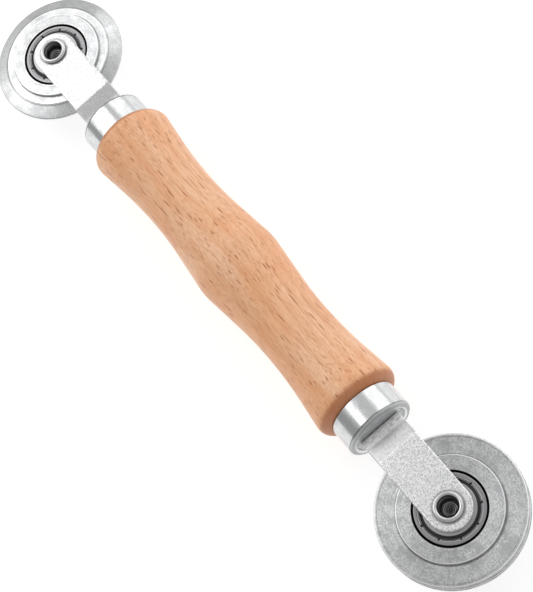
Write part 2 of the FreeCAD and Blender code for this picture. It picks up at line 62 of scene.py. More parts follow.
def lay_grid(name, points, closed_outline):
    """Mesh a grid of points (turns, outline, 3) that closes on itself round the axis.

    The outline either closes too, or starts and ends on the axis in a pole that all turns share. The
    UV map is (share of a turn, length along the outline in millimetres). Faces point outwards.
    """
    turns, count, _ = points.shape
    number = np.arange(turns * count).reshape(turns, count)
    if not closed_outline:
        number[:, 0] = number[0, 0]
        number[:, -1] = number[0, -1]
    steps = np.linalg.norm(np.diff(points[0], axis=0, append=points[0, :1]), axis=1)
    along = np.concatenate([[0.0], np.cumsum(steps)]) / MM
    columns = count if closed_outline else count - 1
    every = np.meshgrid(np.arange(turns), np.arange(columns), indexing="ij")
    turn, column = (grid.ravel() for grid in every)
    after, beyond = (turn + 1) % turns, (column + 1) % count
    quads = np.stack([number[turn, column], number[after, column], number[after, beyond],
                      number[turn, beyond]], axis=1)
    uv = np.stack([
        np.stack([turn, turn + 1, turn + 1, turn], axis=1) / turns,
        np.stack([along[column], along[column], along[column + 1], along[column + 1]], axis=1),
    ], axis=2)
    corners = points.reshape(-1, 3)[quads]
    volume = np.einsum("ij,ij->", corners[:, 0], np.cross(corners[:, 1], corners[:, 2]))
    volume += np.einsum("ij,ij->", corners[:, 0], np.cross(corners[:, 2], corners[:, 3]))
    if volume < 0:
        quads, uv = quads[:, ::-1], uv[:, ::-1]
    kept = quads != np.roll(quads, 1, axis=1)
    used, packed = np.unique(quads, return_inverse=True)
    packed = packed.reshape(quads.shape)
    sizes = kept.sum(axis=1)
    mesh = bpy.data.meshes.new(name)
    mesh.vertices.add(len(used))
    mesh.vertices.foreach_set("co", points.reshape(-1, 3)[used].ravel())
    mesh.loops.add(int(sizes.sum()))
    mesh.loops.foreach_set("vertex_index", packed[kept].astype(np.int32))
    mesh.polygons.add(len(quads))
    mesh.polygons.foreach_set("loop_start", np.concatenate([[0], np.cumsum(sizes)[:-1]]).astype(np.int32))
    mesh.polygons.foreach_set("loop_total", sizes.astype(np.int32))
    mesh.uv_layers.new(name="UVMap").data.foreach_set("uv", uv[kept].ravel())
    mesh.polygons.foreach_set("use_smooth", np.ones(len(quads), bool))
    mesh.update(calc_edges=True)
    mesh.validate()
    piece = bpy.data.objects.new(name, mesh)
    bpy.context.scene.collection.objects.link(piece)
    return piece


def turned_piece(name, outline, axis, centre=(0.0, 0.0, 0.0), turns=256, closed_outline=True, relief=None):
    """Carry an outline of (radius, height) round an axis through centre, all in millimetres.

    A point is centre + height * axis + radius * (cos t * across + sin t * beside). relief(t, outline)
    may return changes (radius, height) for every t and outline point.
    """
    outline = np.asarray(outline, float)
    axis = np.asarray(axis, float)
    across = np.array([0.0, 1.0, 0.0]) if abs(axis[0]) > 0.5 else np.array([1.0, 0.0, 0.0])
    beside = np.cross(axis, across)
    t = np.linspace(0, 2 * np.pi, turns, endpoint=False)[:, None]
    radius, height = outline[None, :, 0] + 0 * t, outline[None, :, 1] + 0 * t
    if relief is not None:
        radius_change, height_change = relief(t, outline)
        radius, height = radius + radius_change, height + height_change
    points = (np.asarray(centre, float) + height[..., None] * axis
              + (radius * np.cos(t))[..., None] * across + (radius * np.sin(t))[..., None] * beside)
    return lay_grid(name, points * MM, closed_outline)


def rounded(corners, closed=True, steps=6, guard=0.05):
    """Outline through corners (radius, height, rounding), each rounded by an arc tangent to its edges.

    The arc's ends lie rounding / tan(half angle) from the corner and its centre on the bisector. Two
    guard points just outside the arc keep the flats flat when the surface is shaded smooth.
    """
    points = [np.asarray(corner[:2], float) for corner in corners]
    outline = []
    for index, corner in enumerate(corners):
        here, size = points[index], corner[2] if len(corner) > 2 else 0.0
        at_end = not closed and index in (0, len(corners) - 1)
        if size == 0.0 or at_end:
            outline.append(here)
            continue
        before, after = points[index - 1] - here, points[(index + 1) % len(points)] - here
        reach_before, reach_after = np.linalg.norm(before), np.linalg.norm(after)
        before, after = before / reach_before, after / reach_after
        half = np.arccos(np.clip(before @ after, -1, 1)) / 2
        cut = size / np.tan(half)
        middle = here + (before + after) / np.linalg.norm(before + after) * size / np.sin(half)
        first, last = here + before * cut - middle, here + after * cut - middle
        sweep = np.pi - 2 * half
        share = np.linspace(0, 1, steps + 1)[:, None]
        arc = middle + (np.sin((1 - share) * sweep) * first + np.sin(share * sweep) * last) / np.sin(sweep)
        if reach_before > cut + 2 * guard:
            outline.append(here + before * (cut + guard))
        outline.extend(arc)
        if reach_after > cut + 2 * guard:
            outline.append(here + after * (cut + guard))
    return np.array(outline)


def start_finish(name):
    """A new material: returns it, its shader, and add(kind, inputs, **settings) for its nodes."""
    material = bpy.data.materials.new(name)
    material.use_nodes = True
    tree = material.node_tree

    def add(kind, inputs=None, **settings):
        node = tree.nodes.new("ShaderNode" + kind)
        for setting, value in settings.items():
            setattr(node, setting, value)
        for socket, value in (inputs or {}).items():
            if isinstance(value, bpy.types.NodeSocket):
                tree.links.new(value, node.inputs[socket])
            else:
                node.inputs[socket].default_value = value
        return node

    return material, tree.nodes["Principled BSDF"], add


def join(material, source, shader, socket):
    """Link an output to one of the shader's sockets."""
    material.node_tree.links.new(source, shader.inputs[socket])


def millimetres(add, shift=(0.0, 0.0, 0.0), stretch=(1.0, 1.0, 1.0)):
    """Object coordinates in millimetres, moved and then scaled along each axis."""
    place = add("TexCoord").outputs["Object"]
    scale = tuple(1000.0 * factor for factor in stretch)
    moved = tuple(-offset * factor for offset, factor in zip(shift, stretch))
    return add("Mapping", {"Vector": place, "Scale": scale, "Location": moved}).outputs["Vector"]


def ramp(add, value, low, high, start=0.0, stop=1.0):
    """value mapped smoothly from [low, high] to [start, stop]."""
    node = add("MapRange", {0: value, 1: low, 2: high, 3: start, 4: stop}, interpolation_type="SMOOTHSTEP")
    return node.outputs[0]


def blend(add, share, first, second, mode="MIX"):
    """Two colours mixed by share."""
    node = add("Mix", {0: share, 6: first, 7: second}, data_type="RGBA", blend_type=mode)
    return node.outputs[2]


def reckon(add, operation, first, second=0.0):
    """The result of one sum on two values or outputs."""
    return add("Math", {0: first, 1: second}, operation=operation).outputs[0]


def beech_finish():
    """Steamed beech: growth rings round a far-off pith, fine fibres, and short brown ray flecks."""
    material, shader, add = start_finish("beech")
    pith = (0.0, 34.0, -21.0)
    ring_spacing = 3.1
    # Growth rings: distance from the pith, in rings, bent by a slow noise along the trunk.
    drift = add("TexNoise", {"Vector": millimetres(add, stretch=(0.012, 0.05, 0.05)), "Scale": 1.0,
                             "Detail": 2.0}).outputs["Fac"]
    across_trunk = add("VectorMath", {0: millimetres(add, shift=pith, stretch=(0.02, 1.0, 1.0))},
                       operation="LENGTH").outputs["Value"]
    ring_number = reckon(add, "DIVIDE", across_trunk, ring_spacing)
    rings = reckon(add, "ADD", ring_number, reckon(add, "MULTIPLY", drift, 3.0))
    phase = reckon(add, "FRACT", rings)
    late_wood = ramp(add, phase, 0.30, 0.97)
    # Fibres: noise drawn out along the grain, coarse and fine.
    fibres = add("TexNoise", {"Vector": millimetres(add, stretch=(0.07, 2.2, 2.2)), "Scale": 1.0,
                              "Detail": 6.0, "Roughness": 0.66}).outputs["Fac"]
    hair = add("TexNoise", {"Vector": millimetres(add, stretch=(0.30, 5.5, 5.5)), "Scale": 1.0,
                            "Detail": 3.0, "Roughness": 0.6}).outputs["Fac"]
    patches = add("TexNoise", {"Vector": millimetres(add, stretch=(0.035, 0.10, 0.10)), "Scale": 1.0,
                               "Detail": 3.0}).outputs["Fac"]
    pale = (0.93, 0.555, 0.340, 1.0)
    peach = (0.90, 0.465, 0.245, 1.0)
    amber = (0.74, 0.325, 0.140, 1.0)
    colour = blend(add, ramp(add, patches, 0.36, 0.64), pale, peach)
    colour = blend(add, reckon(add, "MULTIPLY", late_wood, 0.34), colour, amber)
    colour = blend(add, ramp(add, fibres, 0.48, 0.70, 0.0, 0.60), colour, amber)
    colour = blend(add, ramp(add, fibres, 0.44, 0.28, 0.0, 0.45), colour, (0.97, 0.63, 0.42, 1.0))
    colour = blend(add, ramp(add, hair, 0.52, 0.66, 0.0, 0.55), colour, (0.58, 0.235, 0.10, 1.0))
    # Ray flecks: the cores of cells drawn out along the grain. Each cell draws whether it has a fleck
    # and how large; the first set is bold and short, the second thin, the third hairlines.
    sway = add("TexNoise", {"Vector": millimetres(add, stretch=(0.05, 0.12, 0.12)),
                            "Scale": 1.0}).outputs["Color"]
    flecks = None
    for stretch, core, share, depth in (
        ((0.115, 1.25, 1.25), 0.27, 0.60, 0.95),
        ((0.105, 2.10, 2.10), 0.29, 0.75, 0.75),
        ((0.085, 3.70, 3.70), 0.33, 0.85, 0.45),
    ):
        bend_scuff_and_highlight = add("VectorMath", {0: millimetres(add, stretch=stretch), 1: sway}, operation="ADD")
        cells = add("TexVoronoi", {"Vector": bend_scuff_and_highlight.outputs["Vector"], "Scale": 1.0, "Randomness": 1.0})
        draw = add("SeparateColor", {"Color": cells.outputs["Color"]})
        present = reckon(add, "GREATER_THAN", draw.outputs["Red"], 1.0 - share)
        size = ramp(add, draw.outputs["Green"], 0.0, 1.0, 0.55 * core, core)
        reach = reckon(add, "MULTIPLY", present, size)
        inside = reckon(add, "SUBTRACT", reach, cells.outputs["Distance"])
        spot = ramp(add, inside, 0.0, 0.07, 0.0, depth)
        flecks = spot if flecks is None else reckon(add, "MAXIMUM", flecks, spot)
    colour = blend(add, reckon(add, "MULTIPLY", flecks, 0.9), colour, (0.41, 0.120, 0.042, 1.0))
    # The rounded shoulders are end grain, which drinks the lacquer and goes darker and redder.
    from_middle = reckon(add, "ABSOLUTE", add("SeparateXYZ", {"Vector": millimetres(add)}).outputs["X"])
    ragged_edge = reckon(add, "ADD", from_middle, reckon(add, "MULTIPLY", fibres, 0.9))
    end_grain_starts, end_grain_full = 53.3, 54.7
    end_grain = ramp(add, ragged_edge, end_grain_starts, end_grain_full, 0.0, 0.74)
    colour = blend(add, end_grain, colour, (0.44, 0.135, 0.045, 1.0))
    join(material, colour, shader, "Base Color")
    satin = ramp(add, fibres, 0.3, 0.75, 0.34, 0.50)
    gloss = reckon(add, "ADD", satin, reckon(add, "MULTIPLY", flecks, 0.12))
    join(material, gloss, shader, "Roughness")
    depth = reckon(add, "SUBTRACT", reckon(add, "MULTIPLY", hair, 0.35), flecks)
    relief = add("Bump", {"Height": depth, "Strength": 0.35, "Distance": 0.00003})
    join(material, relief.outputs["Normal"], shader, "Normal")
    shader.inputs["Specular IOR Level"].default_value = 0.3
    shader.inputs["Coat Weight"].default_value = 0.12
    shader.inputs["Coat Roughness"].default_value = 0.30
    return material


bulge_radius, bulge_curve = cad_high.z / MM, 20.0
flank = np.radians(6.3)
waist_radius, waist_curve, waist_curve_outer = 10.35, 120.0, 138.0
shoulder_reach, shoulder_radius, shoulder_curve = 55.6, 12.4, 3.2
ferrule_radius, ferrule_wall = 9.85, 0.8
seat_reach = 63.4
tenon_radius, tenon_end = 9.0, seat_reach - ferrule_wall
pilot_radius, pilot_depth = 1.42, 24.0
# The shoulder's arc starts on the flank's slope and ends at the ferrule's radius on the shoulder face.
arc_height = shoulder_radius - shoulder_curve * np.cos(flank)
arc_reach = shoulder_reach - np.sqrt(shoulder_curve ** 2 - (ferrule_radius - arc_height) ** 2)
arc_start = arc_reach - shoulder_curve * np.sin(flank)


def handle_radius(x):
    """Radius at x: bulge arc, straight flank, two waist arcs, straight flank, and the shoulder's arc."""
    bulge_end = bulge_curve * np.sin(flank)
    bulge_end_radius = bulge_radius - bulge_curve * (1 - np.cos(flank))
    waist_start_radius = waist_radius + waist_curve * (1 - np.cos(flank))
    waist_start = bulge_end + (bulge_end_radius - waist_start_radius) / np.tan(flank)
    waist = waist_start + waist_curve * np.sin(flank)
    waist_end = waist + waist_curve_outer * np.sin(flank)
    waist_end_radius = waist_radius + waist_curve_outer * (1 - np.cos(flank))

    def hollow(curve):
        return waist_radius + curve - np.sqrt(np.maximum(curve ** 2 - (x - waist) ** 2, 0))

    outer_slope = (shoulder_radius - waist_end_radius) / (arc_start - waist_end)
    return np.select(
        [x < bulge_end, x < waist_start, x < waist, x < waist_end, x < arc_start],
        [bulge_radius - bulge_curve + np.sqrt(np.maximum(bulge_curve ** 2 - x ** 2, 0)),
         bulge_end_radius - (x - bulge_end) * np.tan(flank),
         hollow(waist_curve), hollow(waist_curve_outer),
         waist_end_radius + (x - waist_end) * outer_slope],
        arc_height + np.sqrt(np.maximum(shoulder_curve ** 2 - (x - arc_reach) ** 2, 0)),
    )


round_over = np.linspace(-flank, np.arcsin((shoulder_reach - arc_reach) / shoulder_curve), 16)
shoulder_stations = arc_reach + shoulder_curve * np.sin(round_over)
stations = np.concatenate([np.linspace(0, arc_start, 110)[:-1], shoulder_stations])
half_body = np.stack([handle_radius(stations), stations], axis=1)
pilot_end = tenon_end - pilot_depth
tenon = rounded([(ferrule_radius, shoulder_reach, 0.0), (tenon_radius, shoulder_reach, 0.0),
                 (tenon_radius, tenon_end, 0.4), (pilot_radius, tenon_end, 0.15),
                 (pilot_radius, pilot_end, 0.0), (0.0, pilot_end - pilot_radius, 0.0)], closed=False)
half_outline = np.concatenate([half_body, tenon[1:]])
handle_outline = np.concatenate([half_outline[:0:-1] * (1, -1), half_outline])
handle = turned_piece("turned_beech_handle", handle_outline, (1, 0, 0), turns=224, closed_outline=False)
handle.data.materials.append(beech_finish())
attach(handle, "tool")
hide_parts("handle")


# ---- Ferrules ------------------------------------------------------------------------------------
# A steel cup drawn from sheet is pressed over each tenon, its rim against the wood's shoulder. Its end
# face has a shallow dish for the fork's base. Bright zinc plate, with fine lines from the drawing die.

def drawn_zinc_finish():
    """Drawn zinc: lines along the draw, cloudy patches, a rougher end face, painted shade there and at the
    corner, and a painted lip highlight.
    """
    material, shader, add = start_finish("drawn_zinc")
    lines = add("TexNoise", {"Vector": millimetres(add, stretch=(0.05, 4.2, 4.2)), "Scale": 1.0,
                             "Detail": 6.0, "Roughness": 0.7}).outputs["Fac"]
    clouds = add("TexNoise", {"Vector": millimetres(add, stretch=(0.35, 0.5, 0.5)), "Scale": 1.0,
                              "Detail": 4.0}).outputs["Fac"]
    grit = add("TexNoise", {"Vector": millimetres(add), "Scale": 4.0, "Detail": 3.0}).outputs["Fac"]
    bright = blend(add, ramp(add, clouds, 0.35, 0.65), (0.73, 0.74, 0.745, 1.0), (0.63, 0.64, 0.645, 1.0))
    scored = ramp(add, lines, 0.56, 0.66, 0.0, 0.70)
    colour = blend(add, scored, bright, (0.26, 0.27, 0.28, 1.0))
    from_middle = reckon(add, "ABSOLUTE", add("SeparateXYZ", {"Vector": millimetres(add)}).outputs["X"])
    ragged = reckon(add, "ADD", from_middle, reckon(add, "MULTIPLY", clouds, 0.5))
    # The end face is rougher, and its colour is painted darker there as shade.
    end_face = ramp(add, ragged, 63.45, 63.80)
    colour = blend(add, end_face, colour, (0.50, 0.505, 0.51, 1.0))
    # Painted shade: a dark line along the rounded corner, for the dark reflection it catches.
    corner = reckon(add, "MULTIPLY", ramp(add, ragged, 63.05, 63.25), ramp(add, ragged, 63.60, 63.40))
    colour = blend(add, reckon(add, "MULTIPLY", corner, 0.70), colour, (0.10, 0.10, 0.105, 1.0))
    # The dish and its lip: a light ring on the lip is a painted highlight; the bottom is plain.
    split = add("SeparateXYZ", {"Vector": millimetres(add)})
    y, z = split.outputs["Y"], split.outputs["Z"]
    squares = reckon(add, "ADD", reckon(add, "MULTIPLY", y, y), reckon(add, "MULTIPLY", z, z))
    off_axis = reckon(add, "SQRT", squares)
    lip_highlight = reckon(add, "MULTIPLY", ramp(add, off_axis, 7.7, 8.0), ramp(add, off_axis, 8.7, 8.3))
    colour = blend(add, reckon(add, "MULTIPLY", lip_highlight, 0.85), colour, (0.95, 0.955, 0.96, 1.0))
    join(material, colour, shader, "Base Color")
    gloss = ramp(add, clouds, 0.3, 0.7, 0.17, 0.30)
    join(material, reckon(add, "ADD", gloss, reckon(add, "MULTIPLY", end_face, 0.28)), shader, "Roughness")
    join(material, ramp(add, off_axis, 7.5, 8.0, 0.35, 1.0), shader, "Metallic")
    height = reckon(add, "ADD", reckon(add, "MULTIPLY", lines, 0.8), reckon(add, "MULTIPLY", grit, 0.35))
    join(material, add("Bump", {"Height": height, "Strength": 0.35, "Distance": 0.00002}).outputs["Normal"],
         shader, "Normal")
    return material


drawn_zinc = drawn_zinc_finish()
ferrule_reach, ferrule_rim = 63.85, shoulder_reach + 0.15
dish_radius = 7.5
ferrule_outline = rounded([
    (ferrule_radius - ferrule_wall, ferrule_rim, 0.1),
    (ferrule_radius, ferrule_rim, 0.25),
    (ferrule_radius, ferrule_reach, 0.88),
    (dish_radius + 0.55, ferrule_reach, 1.2),
    (dish_radius, seat_reach, 0.15),
    (pilot_radius, seat_reach, 0.1),
    (pilot_radius, tenon_end, 0.1),
    (ferrule_radius - ferrule_wall, tenon_end, 0.2),
], steps=8)
for end, side in ENDS:
    ferrule = turned_piece(f"{end}_drawn_ferrule", ferrule_outline, (side, 0, 0), turns=224)
    ferrule.data.materials.append(drawn_zinc)
    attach(ferrule, "tool")
    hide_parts(f"{end}_ferrule")


# ---- Forks ---------------------------------------------------------------------------------------
# Each fork is a blank stamped from steel strip with round ends and three holes, then folded to a U that
# is pinched at the neck so that its base fits the ferrule's dish. Dull zinc plate with a fine speckle.

strip_half_width, strip_thickness = 6.35, 1.3
axle_reach = 92.8
arm_inside, neck_outside = 3.35, 3.4
arm_middle = arm_inside + strip_thickness / 2
crease_reach = axle_reach - 20.8
base_reach = seat_reach + strip_thickness / 2
neck_middle = neck_outside - strip_thickness / 2
bend_radius, crease_radius = 2.4 - strip_thickness / 2, 3.5
neck_slope = (arm_middle - neck_middle) / (crease_reach - base_reach - bend_radius)
rollover, burr_side = 0.42, 0.12
axle_hole, screw_hole = 3.05, 1.42


def fold_line():
    """Middle line of the folded strip from base to axle, as (length, x, z), finely stepped."""
    line = rounded([(base_reach, 0.0), (base_reach, neck_middle - neck_slope * bend_radius, bend_radius),
                    (crease_reach, arm_middle, crease_radius),
                    (axle_reach + 2 * strip_half_width, arm_middle)], closed=False, steps=24)
    length = np.concatenate([[0.0], np.cumsum(np.linalg.norm(np.diff(line, axis=0), axis=1))])
    return length, line[:, 0], line[:, 1]


def fold(u, w):
    """Fold the flat blank: u runs along it from the base's middle, w is the height over its mid surface.

    A point is line(|u|) + w * outward normal of the line, with z mirrored where u is negative.
    """
    length, line_x, line_z = fold_line()
    reach = np.abs(u)
    half_step = 0.06
    x, z = np.interp(reach, length, line_x), np.interp(reach, length, line_z)
    ahead, behind = reach + half_step, np.maximum(reach - half_step, 0)
    run_x = np.interp(ahead, length, line_x) - np.interp(behind, length, line_x)
    run_z = np.interp(ahead, length, line_z) - np.interp(behind, length, line_z)
    size = np.hypot(run_x, run_z)
    return x - w * run_z / size, (z + w * run_x / size) * np.where(u < 0, -1, 1)


def weld_and_face_out(mesh):
    """Merge points that coincide, drop what has no area, and turn every face outwards."""
    work = bmesh.new()
    work.from_mesh(mesh)
    bmesh.ops.remove_doubles(work, verts=work.verts, dist=2e-7)
    bmesh.ops.dissolve_degenerate(work, edges=work.edges, dist=1e-7)
    bmesh.ops.recalc_face_normals(work, faces=work.faces)
    for face in work.faces:
        face.smooth = True
    work.to_mesh(mesh)
    work.free()
    mesh.update()


def make_fork(name, side):
    """The blank's outline is inset to its middle line or to a hole's edge, then carried over its edge.

    For each place on the outline, a row runs over the outer face from the hole or middle line to the
    edge, round the rolled-over edge, down the cut wall, and back over the inner face.
    """
    length, line_x, _ = fold_line()
    axle_u = float(np.interp(axle_reach, line_x, length))
    half = strip_half_width
    # Stations along the strip are close together at the base's bend, the crease and both holes.
    run = np.unique(np.concatenate([
        np.linspace(0, axle_u, 60), np.linspace(0, 6.5, 44), np.linspace(axle_u - 24, axle_u - 17, 24),
        axle_u - axle_hole * np.cos(np.linspace(0, np.pi / 2, 20)),
        screw_hole * np.cos(np.linspace(0, np.pi / 2, 12))]).round(4))
    run = np.concatenate([-run[:0:-1], run])
    around = np.linspace(0, np.pi, 48)[1:-1]
    # One closed trip round the outline, with the matching points on the hole edge or middle line.
    sideways = np.concatenate([run * 0 + 1, np.cos(around), run * 0 - 1, -np.cos(around)])
    u_middle = np.concatenate([run, around * 0 + axle_u, run[::-1], around * 0 - axle_u])
    u_swing = np.concatenate([run * 0, np.sin(around), run * 0, -np.sin(around)])
    to_axle = np.abs(np.abs(u_middle) - axle_u)
    at_end = u_swing != 0
    axle_gap = np.sqrt(np.maximum(axle_hole ** 2 - to_axle ** 2, 0))
    screw_gap = np.sqrt(np.maximum(screw_hole ** 2 - u_middle ** 2, 0))
    hole = np.where(at_end, axle_hole, axle_gap + screw_gap)
    # The section's steps: share of the way from hole to edge, and height; the edge arcs come last.
    faces = np.array([0.0, 0.25, 0.5, 0.75, 0.93, 1.0])
    top = strip_thickness / 2
    arc = np.linspace(0, np.pi / 2, 7)
    inset = np.concatenate([rollover * (1 - np.sin(arc)), burr_side * (1 - np.cos(arc))])
    height = np.concatenate([top - rollover * (1 - np.cos(arc)), -top + burr_side * (1 - np.sin(arc))])
    outer = hole[:, None] + (half - rollover - hole)[:, None] * faces
    inner = hole[:, None] + (half - burr_side - hole)[:, None] * faces[::-1]
    reach = np.concatenate([outer[:, :-1], half - inset[None, :] + 0 * hole[:, None], inner[:, 1:]], axis=1)
    w = np.concatenate([faces[:-1] * 0 + top, height, faces[1:] * 0 - top])[None, :] + 0 * reach
    u = u_middle[:, None] + reach * u_swing[:, None]
    v = reach * sideways[:, None]
    x, z = fold(u, w)
    points = np.stack([x * side, v, z], axis=2) * MM
    rows, columns = u.shape
    number = np.arange(rows * columns).reshape(rows, columns)
    after = np.roll(number, -1, axis=0)
    skin = np.stack([number[:, :-1], after[:, :-1], after[:, 1:], number[:, 1:]], axis=2).reshape(-1, 4)
    lined = (hole > 0) | (np.roll(hole, -1) > 0)
    walls = np.stack([number[:, -1], after[:, -1], after[:, 0], number[:, 0]], axis=1)[lined]
    mesh = bpy.data.meshes.new(name)
    mesh.from_pydata(points.reshape(-1, 3).tolist(), [], np.concatenate([skin, walls]).tolist())
    piece = bpy.data.objects.new(name, mesh)
    bpy.context.scene.collection.objects.link(piece)
    weld_and_face_out(mesh)
    return piece


def axle_distance(add):
    """Distance from the nearer axle, in millimetres: |x| folds both ends onto one axle."""
    split = add("SeparateXYZ", {"Vector": millimetres(add)})
    x = reckon(add, "SUBTRACT", reckon(add, "ABSOLUTE", split.outputs["X"]), axle_reach)
    y = split.outputs["Y"]
    squares = reckon(add, "ADD", reckon(add, "MULTIPLY", x, x), reckon(add, "MULTIPLY", y, y))
    return reckon(add, "SQRT", squares)


def sheet_zinc_finish():
    """Zinc over rolled strip: fine speckle, painted shade on the slope and round the rivet, scuffs and a
    painted highlight at the bend.
    """
    material, shader, add = start_finish("sheet_zinc")
    speckle = add("TexNoise", {"Vector": millimetres(add), "Scale": 2.3, "Detail": 4.0,
                               "Roughness": 0.85}).outputs["Fac"]
    clouds = add("TexNoise", {"Vector": millimetres(add), "Scale": 0.28, "Detail": 3.0}).outputs["Fac"]
    scuffs = add("TexNoise", {"Vector": millimetres(add, stretch=(2.2, 0.9, 0.9)), "Scale": 1.0,
                              "Detail": 4.0, "Roughness": 0.75}).outputs["Fac"]
    colour = blend(add, ramp(add, speckle, 0.41, 0.56), (0.52, 0.525, 0.53, 1.0), (1.0, 1.0, 1.0, 1.0))
    colour = blend(add, ramp(add, clouds, 0.4, 0.7, 0.0, 0.20), colour, (0.66, 0.66, 0.67, 1.0))
    from_middle = reckon(add, "ABSOLUTE", add("SeparateXYZ", {"Vector": millimetres(add)}).outputs["X"])
    # Where the neck slopes in, the speckle is evened out and the colour is painted darker as shade.
    sloped_shade = ramp(add, from_middle, 72.2, 71.6)
    colour = blend(add, reckon(add, "MULTIPLY", sloped_shade, 0.55), colour, (0.66, 0.66, 0.665, 1.0))
    colour = blend(add, sloped_shade, colour, (0.74, 0.74, 0.745, 1.0), "MULTIPLY")
    # Painted shadow: a dark ring on the arm round the rivet's rolled head.
    rivet_head_shadow = ramp(add, axle_distance(add), 4.9, 4.15, 0.0, 0.75)
    colour = blend(add, rivet_head_shadow, colour, (0.22, 0.22, 0.225, 1.0))
    # At the bend the zinc is scuffed, rougher and less metallic, and also painted near white as a highlight.
    near_bend = reckon(add, "ADD", from_middle, reckon(add, "MULTIPLY", scuffs, 2.6))
    bend_scuff_and_highlight = ramp(add, near_bend, 69.0, 68.0)
    scuffed_and_highlit = blend(add, ramp(add, scuffs, 0.38, 0.55), (0.60, 0.60, 0.61, 1.0), (1.0, 1.0, 1.0, 1.0))
    colour = blend(add, bend_scuff_and_highlight, colour, scuffed_and_highlit)
    join(material, colour, shader, "Base Color")
    satin = ramp(add, speckle, 0.3, 0.7, 0.44, 0.30)
    join(material, reckon(add, "ADD", satin, reckon(add, "MULTIPLY", bend_scuff_and_highlight, 0.3)), shader, "Roughness")
    join(material, ramp(add, bend_scuff_and_highlight, 0.0, 1.0, 1.0, 0.25), shader, "Metallic")
    join(material, add("Bump", {"Height": speckle, "Strength": 0.6, "Distance": 0.00003}).outputs["Normal"],
         shader, "Normal")
    return material


sheet_zinc = sheet_zinc_finish()
for end, side in ENDS:
    fork = make_fork(f"{end}_folded_fork", side)
    fork.data.materials.append(sheet_zinc)
    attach(fork, "tool")
    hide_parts(f"{end}_fork")


# ---- Fork screws ---------------------------------------------------------------------------------
# A slotted wood screw runs through the fork's base into the tenon. Plain steel with a thin film of oil.

def screw_steel_finish():
    """Plain steel under a patchy film of oil."""
    material, shader, add = start_finish("screw_steel")
    film = add("TexNoise", {"Vector": millimetres(add), "Scale": 1.3, "Detail": 4.0}).outputs["Fac"]
    join(material, blend(add, film, (0.42, 0.40, 0.38, 1.0), (0.58, 0.57, 0.56, 1.0)), shader, "Base Color")
    join(material, ramp(add, film, 0.3, 0.7, 0.25, 0.42), shader, "Roughness")
    shader.inputs["Metallic"].default_value = 1.0
    return material


def refinish(node, material):
    """Give a CAD node that stays as it is another material."""
    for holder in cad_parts[node].material_slots:
        holder.material = material


screw_steel = screw_steel_finish()
for end, _ in ENDS:
    refinish(f"{end}_fork_screw", screw_steel)


# ---- Bearings ------------------------------------------------------------------------------------
# A sealed 6 x 19 x 6 ball bearing: ground rings, seven balls in a moulded cage, and two pressed shields
# whose raised edge is crimped into the outer ring at nine places.

half_width = 3.0
bearing_radius = 9.5
shield_radius, shield_opening = 8.55, 5.2
# The balls' groove ends at the lands; outside them lie the shields' seats, down to the shelf.
land_radius, shelf_height, seat_wall = 7.7, 2.3, 8.57


def ring_noise(add, scale, detail=3.0):
    """Noise that depends only on the distance from the axle and on the height."""
    height = add("SeparateXYZ", {"Vector": millimetres(add)}).outputs["Z"]
    layer = reckon(add, "MULTIPLY", height, 0.35)
    spot = add("CombineXYZ", {"X": axle_distance(add), "Y": layer}).outputs["Vector"]
    return add("TexNoise", {"Vector": spot, "Scale": scale, "Detail": detail, "Roughness": 0.65},
               noise_dimensions="2D").outputs["Fac"]


def ground_steel_finish(name, dark, light, rough):
    """Ground bearing steel: fine rings about the axle, drawn by noise that depends on radius alone."""
    material, shader, add = start_finish(name)
    rings = ring_noise(add, 7.0)
    join(material, blend(add, rings, dark, light), shader, "Base Color")
    join(material, ramp(add, rings, 0.3, 0.7, rough - 0.06, rough + 0.06), shader, "Roughness")
    join(material, add("Bump", {"Height": rings, "Strength": 0.3, "Distance": 0.000012}).outputs["Normal"],
         shader, "Normal")
    shader.inputs["Metallic"].default_value = 1.0
    return material


outer_ring_outline = rounded([
    (8.03, 0.0, 0.0), (7.95, 0.6, 0.0), (land_radius, 1.03, 0.05), (land_radius, shelf_height, 0.05),
    (seat_wall, shelf_height, 0.05), (seat_wall, half_width, 0.12),
    (bearing_radius, half_width, 0.28), (bearing_radius, -half_width, 0.28),
    (seat_wall, -half_width, 0.12), (seat_wall, -shelf_height, 0.05),
    (land_radius, -shelf_height, 0.05), (land_radius, -1.03, 0.05), (7.95, -0.6, 0.0),
], guard=0.04)
# The shield's disc is flat, rises in a bead and ends in the raised edge that the crimps dent.
disc_inside, disc_outside, edge_top = 2.32, 2.57, 2.86
shield_outline = rounded([
    (shield_opening, disc_inside, 0.04), (shield_radius, disc_inside, 0.06), (shield_radius, edge_top, 0.10),
    (8.34, edge_top, 0.06), (8.29, 2.68, 0.05), (8.20, 2.68, 0.05), (8.14, 2.80, 0.05), (7.98, 2.80, 0.08),
    (7.86, 2.50, 0.12), (7.30, 2.44, 0.10), (6.9, 2.55, 0.1), (shield_opening, disc_outside, 0.08),
], guard=0.03)
crimp_phase = {"concave": 20.0, "convex": 17.0}
crimp_spacing, crimp_spread, crimp_depth = 40.0, 1.9, 0.28
# Painted shade: the ring steel is kept dark, for the outer ring that lies in shade by the arm.
ring_steel = ground_steel_finish("ground_ring_steel", (0.20, 0.20, 0.205, 1.0),
                                 (0.44, 0.44, 0.45, 1.0), 0.30)


